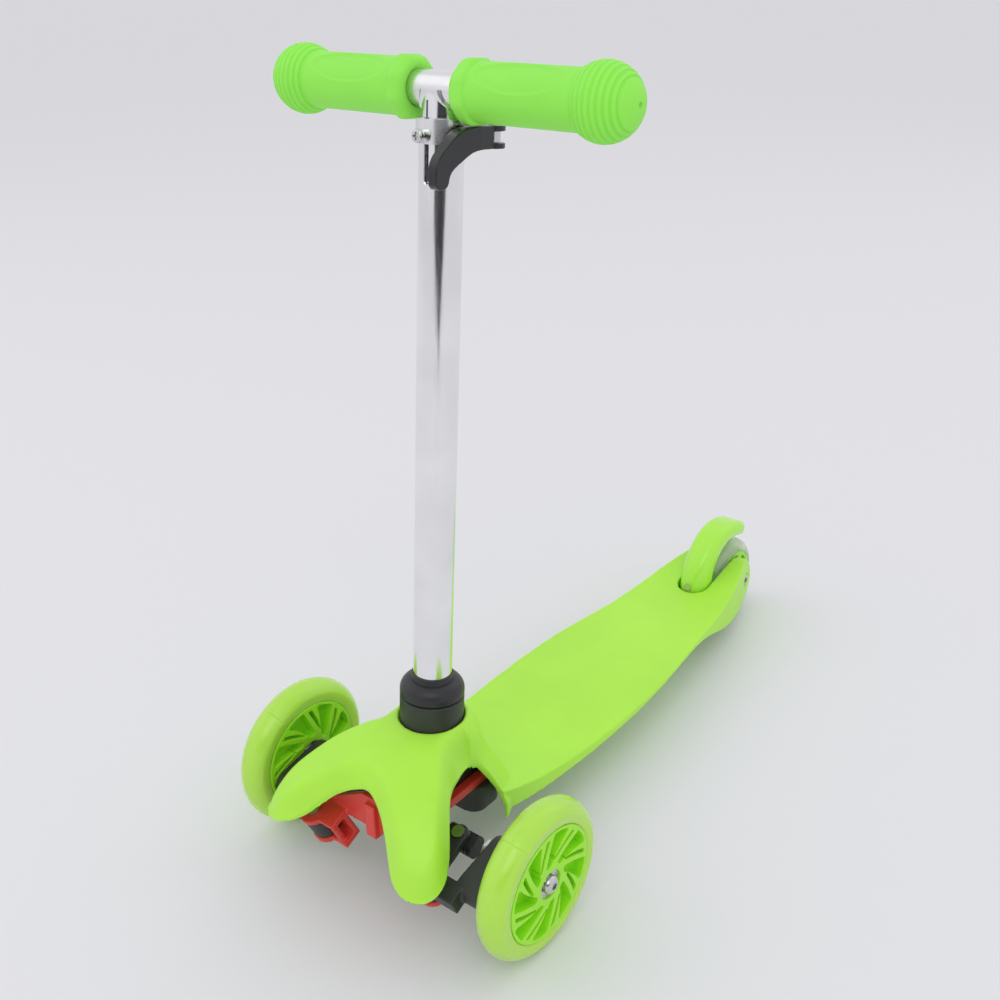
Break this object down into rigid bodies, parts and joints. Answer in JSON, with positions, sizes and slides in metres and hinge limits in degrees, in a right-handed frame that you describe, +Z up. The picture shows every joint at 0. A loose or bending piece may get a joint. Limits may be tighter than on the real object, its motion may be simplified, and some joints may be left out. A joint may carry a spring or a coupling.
{
  "type": "kick scooter",
  "caption": "Small three-wheel kick scooter: lean-to-steer front wheels, moulded deck, foot brake over the rear wheel and a sliding T-handlebar.",
  "frame": {"origin": "on the ground, at the middle of the bounding box", "axes": "+Z up; -Y is the riding direction; +X is the rider's left"},
  "size_m": [0.2816, 0.6081, 0.591],
  "materials": {
    "deck": "satin",
    "black": "satin",
    "dark": "satin",
    "aluminium": "satin",
    "steel": "satin",
    "grip": "matte",
    "red": "satin",
    "bush": "matte",
    "tyre": "gloss",
    "core": "satin",
    "rear_tyre": "gloss",
    "rear_core": "satin",
    "light": "gloss",
    "fender": "gloss"
  },
  "bodies": {
    "chassis": {"deck": "deck", "stem_socket": "black", "socket_cap": "black", "stem_tube": "aluminium", "stem_bolt": "steel", "steering_bridge": "red", "bridge_screws": "steel", "socket_screws": "steel", "kingpin_left": "steel", "kingpin_right": "steel", "kingpin_nuts": "steel", "clamp_collar": "aluminium", "clamp_bolt": "steel", "clamp_nut": "steel", "clamp_cam_seat": "black", "lever_pin": "steel", "clamp_guide_screw": "steel", "rear_axle": "steel", "rear_axle_nut": "steel", "rear_spacers": "steel", "brake_pin": "steel", "brake_spring": "steel"},
    "lever": {"clamp_lever": "black"},
    "handlebar": {"inner_tube": "aluminium", "inner_tube_bush": "black", "crossbar": "aluminium", "handlebar_weld": "aluminium", "grip_left": "grip", "grip_right": "grip"},
    "steer_knuckle_left": {"knuckle_left": "dark", "kingpin_bush_left": "bush", "axle_bolt_left": "steel", "axle_nut_left": "steel", "axle_spacers_left": "steel"},
    "steer_knuckle_right": {"knuckle_right": "dark", "kingpin_bush_right": "bush", "axle_bolt_right": "steel", "axle_nut_right": "steel", "axle_spacers_right": "steel"},
    "steering_rod": {"tie_rod": "black", "tie_rod_screws": "steel"},
    "wheel_left": {"front_tyre_left": "tyre", "front_core_left": "core", "front_bearings_left": "steel", "front_hub_spacer_left": "steel", "wheel_lights_left": "light"},
    "wheel_right": {"front_tyre_right": "tyre", "front_core_right": "core", "front_bearings_right": "steel", "front_hub_spacer_right": "steel", "wheel_lights_right": "light"},
    "wheel_rear": {"rear_tyre": "rear_tyre", "rear_core": "rear_core", "rear_bearings": "steel", "rear_hub_spacer": "steel"},
    "brake": {"brake_fender": "fender", "brake_screw": "steel", "brake_plate": "steel"}
  },
  "joints": [
    {"name": "steer_left", "type": "hinge", "parent": "chassis", "child": "steer_knuckle_left", "pos_m": [0.054, -0.268, 0.05], "axis": [0, -0.4226, 0.9063], "range_deg": [-20, 20], "stiffness_Nm_per_rad": 3},
    {"name": "steer_right", "type": "hinge", "parent": "chassis", "child": "steer_knuckle_right", "pos_m": [-0.054, -0.268, 0.05], "axis": [0, -0.4226, 0.9063], "range_deg": [-20, 20], "stiffness_Nm_per_rad": 3},
    {"name": "rod_pivot", "type": "hinge", "parent": "steer_knuckle_left", "child": "steering_rod", "pos_m": [0.054, -0.23175, 0.06691], "axis": [0, -0.4226, 0.9063], "range_deg": [-20, 20]},
    {"name": "spin_left", "type": "hinge", "parent": "steer_knuckle_left", "child": "wheel_left", "pos_m": [0.119, -0.226, 0.06], "axis": [1, 0, 0], "continuous": true},
    {"name": "spin_right", "type": "hinge", "parent": "steer_knuckle_right", "child": "wheel_right", "pos_m": [-0.119, -0.226, 0.06], "axis": [1, 0, 0], "continuous": true},
    {"name": "spin_rear", "type": "hinge", "parent": "chassis", "child": "wheel_rear", "pos_m": [0, 0.264, 0.04], "axis": [1, 0, 0], "continuous": true},
    {"name": "brake_press", "type": "hinge", "parent": "chassis", "child": "brake", "pos_m": [0, 0.198, 0.046], "axis": [-1, 0, 0], "range_deg": [0, 6.5], "stiffness_Nm_per_rad": 2, "springref_deg": -8.59},
    {"name": "lever_swing", "type": "hinge", "parent": "chassis", "child": "lever", "pos_m": [0.0242, -0.14201, 0.54083], "axis": [0, 0.0872, 0.9962], "range_deg": [0, 130]},
    {"name": "height_slide", "type": "slide", "parent": "chassis", "child": "handlebar", "axis": [0, 0.0872, 0.9962], "range_m": [0, 0.16]}
  ],
  "couplings": [
    {"joint": "steer_right", "follows": "steer_left", "ratio": 1},
    {"joint": "rod_pivot", "follows": "steer_left", "ratio": -1}
  ]
}
